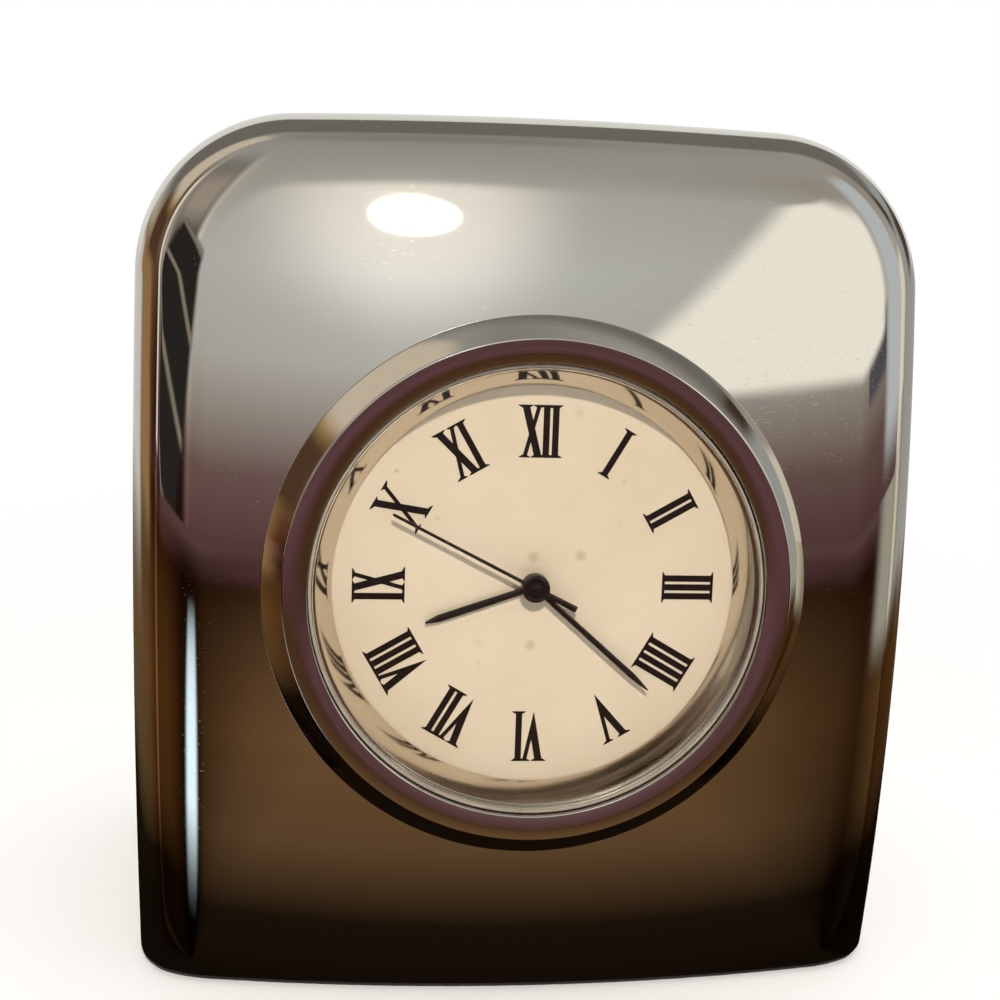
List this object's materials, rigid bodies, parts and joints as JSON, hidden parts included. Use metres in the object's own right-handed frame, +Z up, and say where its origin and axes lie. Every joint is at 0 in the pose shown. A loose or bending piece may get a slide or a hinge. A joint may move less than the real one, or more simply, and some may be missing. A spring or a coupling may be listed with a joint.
{
  "type": "desk clock",
  "caption": "Small mirror-plated desk clock with a domed cast body leaning back on a felted base, and a push-in quartz insert with Roman numerals and black hands",
  "frame": {"origin": "On the table, under the middle of the base, on the felt pad's lower face", "axes": "+Z up, +X to the viewer's right, -Y out of the clock's face; units are metres"},
  "size_m": [0.054, 0.0321, 0.0594],
  "materials": {
    "plated_metal": "mirror-polished silver-coloured plate with fine handling scratches",
    "steel": "stamped and turned steel, lightly brushed",
    "felt": "black pressed felt",
    "clear_lens": "clear flat mineral glass",
    "pale_plastic": "moulded off-white plastic",
    "dial_paint": "matte ivory paint with black printed numerals",
    "black_plastic": "moulded black plastic, fine grain",
    "rubber": "smooth soft rubber",
    "brass": "stamped and turned brass",
    "copper": "enamelled copper winding",
    "black_lacquer": "semi-gloss black lacquer on stamped metal",
    "board_laminate": "green circuit laminate"
  },
  "bodies": {
    "case": {"body_shell": "plated_metal", "base_plate": "steel", "base_screw_left": "steel", "base_screw_right": "steel", "felt_pad": "felt"},
    "insert": {"bezel_ring": "plated_metal", "lens": "clear_lens", "lens_gasket": "pale_plastic", "rehaut_ring": "plated_metal", "dial_plate": "dial_paint", "insert_case": "black_plastic", "case_back": "black_plastic", "grip_band": "rubber", "main_plate": "brass", "train_bridge": "pale_plastic", "bridge_screw_1": "steel", "bridge_screw_2": "steel", "bridge_screw_3": "steel", "stator": "steel", "coil": "copper", "circuit_board": "board_laminate", "crystal_can": "steel", "button_cell": "steel", "battery_clip": "steel", "clip_screw": "steel"},
    "seconds": {"seconds_wheel": "brass", "seconds_hand": "black_lacquer"},
    "minute": {"cannon_pinion": "steel", "minute_hand": "black_lacquer"},
    "hour": {"hour_wheel": "brass", "hour_hand": "black_lacquer"},
    "rotor_arbor": {"rotor": "steel"},
    "intermediate_arbor": {"intermediate_wheel": "pale_plastic"},
    "third_arbor": {"third_wheel": "brass"},
    "centre": {"centre_wheel": "brass"},
    "minute_work": {"minute_wheel": "brass"},
    "setting_arbor": {"setting_wheel": "brass"},
    "lever": {"setting_lever": "steel"},
    "stem": {"setting_stem": "steel", "sliding_pinion": "steel", "crown": "plated_metal"}
  },
  "joints": [
    {"name": "insert_pull", "type": "slide", "parent": "case", "child": "insert", "axis": [0, -0.9903, 0.1392], "range_m": [0, 0.022]},
    {"name": "seconds_turn", "type": "hinge", "parent": "insert", "child": "seconds", "pos_m": [0, -0.01278, 0.0295], "axis": [0, 0.9903, -0.1392], "continuous": true},
    {"name": "intermediate_turn", "type": "hinge", "parent": "insert", "child": "intermediate_arbor", "pos_m": [-0.00438, -0.013, 0.02792], "axis": [0, 0.9903, -0.1392], "continuous": true},
    {"name": "rotor_turn", "type": "hinge", "parent": "insert", "child": "rotor_arbor", "pos_m": [-0.00709, -0.01314, 0.02695], "axis": [0, 0.9903, -0.1392], "continuous": true},
    {"name": "third_turn", "type": "hinge", "parent": "insert", "child": "third_arbor", "pos_m": [0, -0.01214, 0.03405], "axis": [0, 0.9903, -0.1392], "continuous": true},
    {"name": "centre_turn", "type": "hinge", "parent": "insert", "child": "centre", "pos_m": [0, -0.01278, 0.0295], "axis": [0, 0.9903, -0.1392], "continuous": true},
    {"name": "minute_turn", "type": "hinge", "parent": "insert", "child": "minute", "pos_m": [0, -0.01278, 0.0295], "axis": [0, 0.9903, -0.1392], "continuous": true},
    {"name": "minute_work_turn", "type": "hinge", "parent": "insert", "child": "minute_work", "pos_m": [0.0032, -0.01278, 0.0295], "axis": [0, 0.9903, -0.1392], "continuous": true},
    {"name": "hour_turn", "type": "hinge", "parent": "insert", "child": "hour", "pos_m": [0, -0.01278, 0.0295], "axis": [0, 0.9903, -0.1392], "continuous": true},
    {"name": "setting_turn", "type": "hinge", "parent": "insert", "child": "setting_arbor", "pos_m": [0.0076, -0.01278, 0.0295], "axis": [0, 0.9903, -0.1392], "continuous": true},
    {"name": "crown_pull", "type": "slide", "parent": "insert", "child": "lever", "axis": [1, 0, 0], "range_m": [0, 0.0008]},
    {"name": "crown_turn", "type": "hinge", "parent": "lever", "child": "stem", "pos_m": [0.01698, -0.00815, 0.02885], "axis": [1, 0, 0], "continuous": true}
  ],
  "couplings": [
    {"joint": "intermediate_turn", "follows": "seconds_turn", "ratio": -6},
    {"joint": "rotor_turn", "follows": "seconds_turn", "ratio": 30},
    {"joint": "third_turn", "follows": "seconds_turn", "ratio": -0.13333},
    {"joint": "centre_turn", "follows": "seconds_turn", "ratio": 0.016667},
    {"joint": "minute_work_turn", "follows": "minute_turn", "ratio": -0.33333},
    {"joint": "hour_turn", "follows": "minute_turn", "ratio": 0.083333},
    {"joint": "setting_turn", "follows": "minute_turn", "ratio": 0.4}
  ]
}
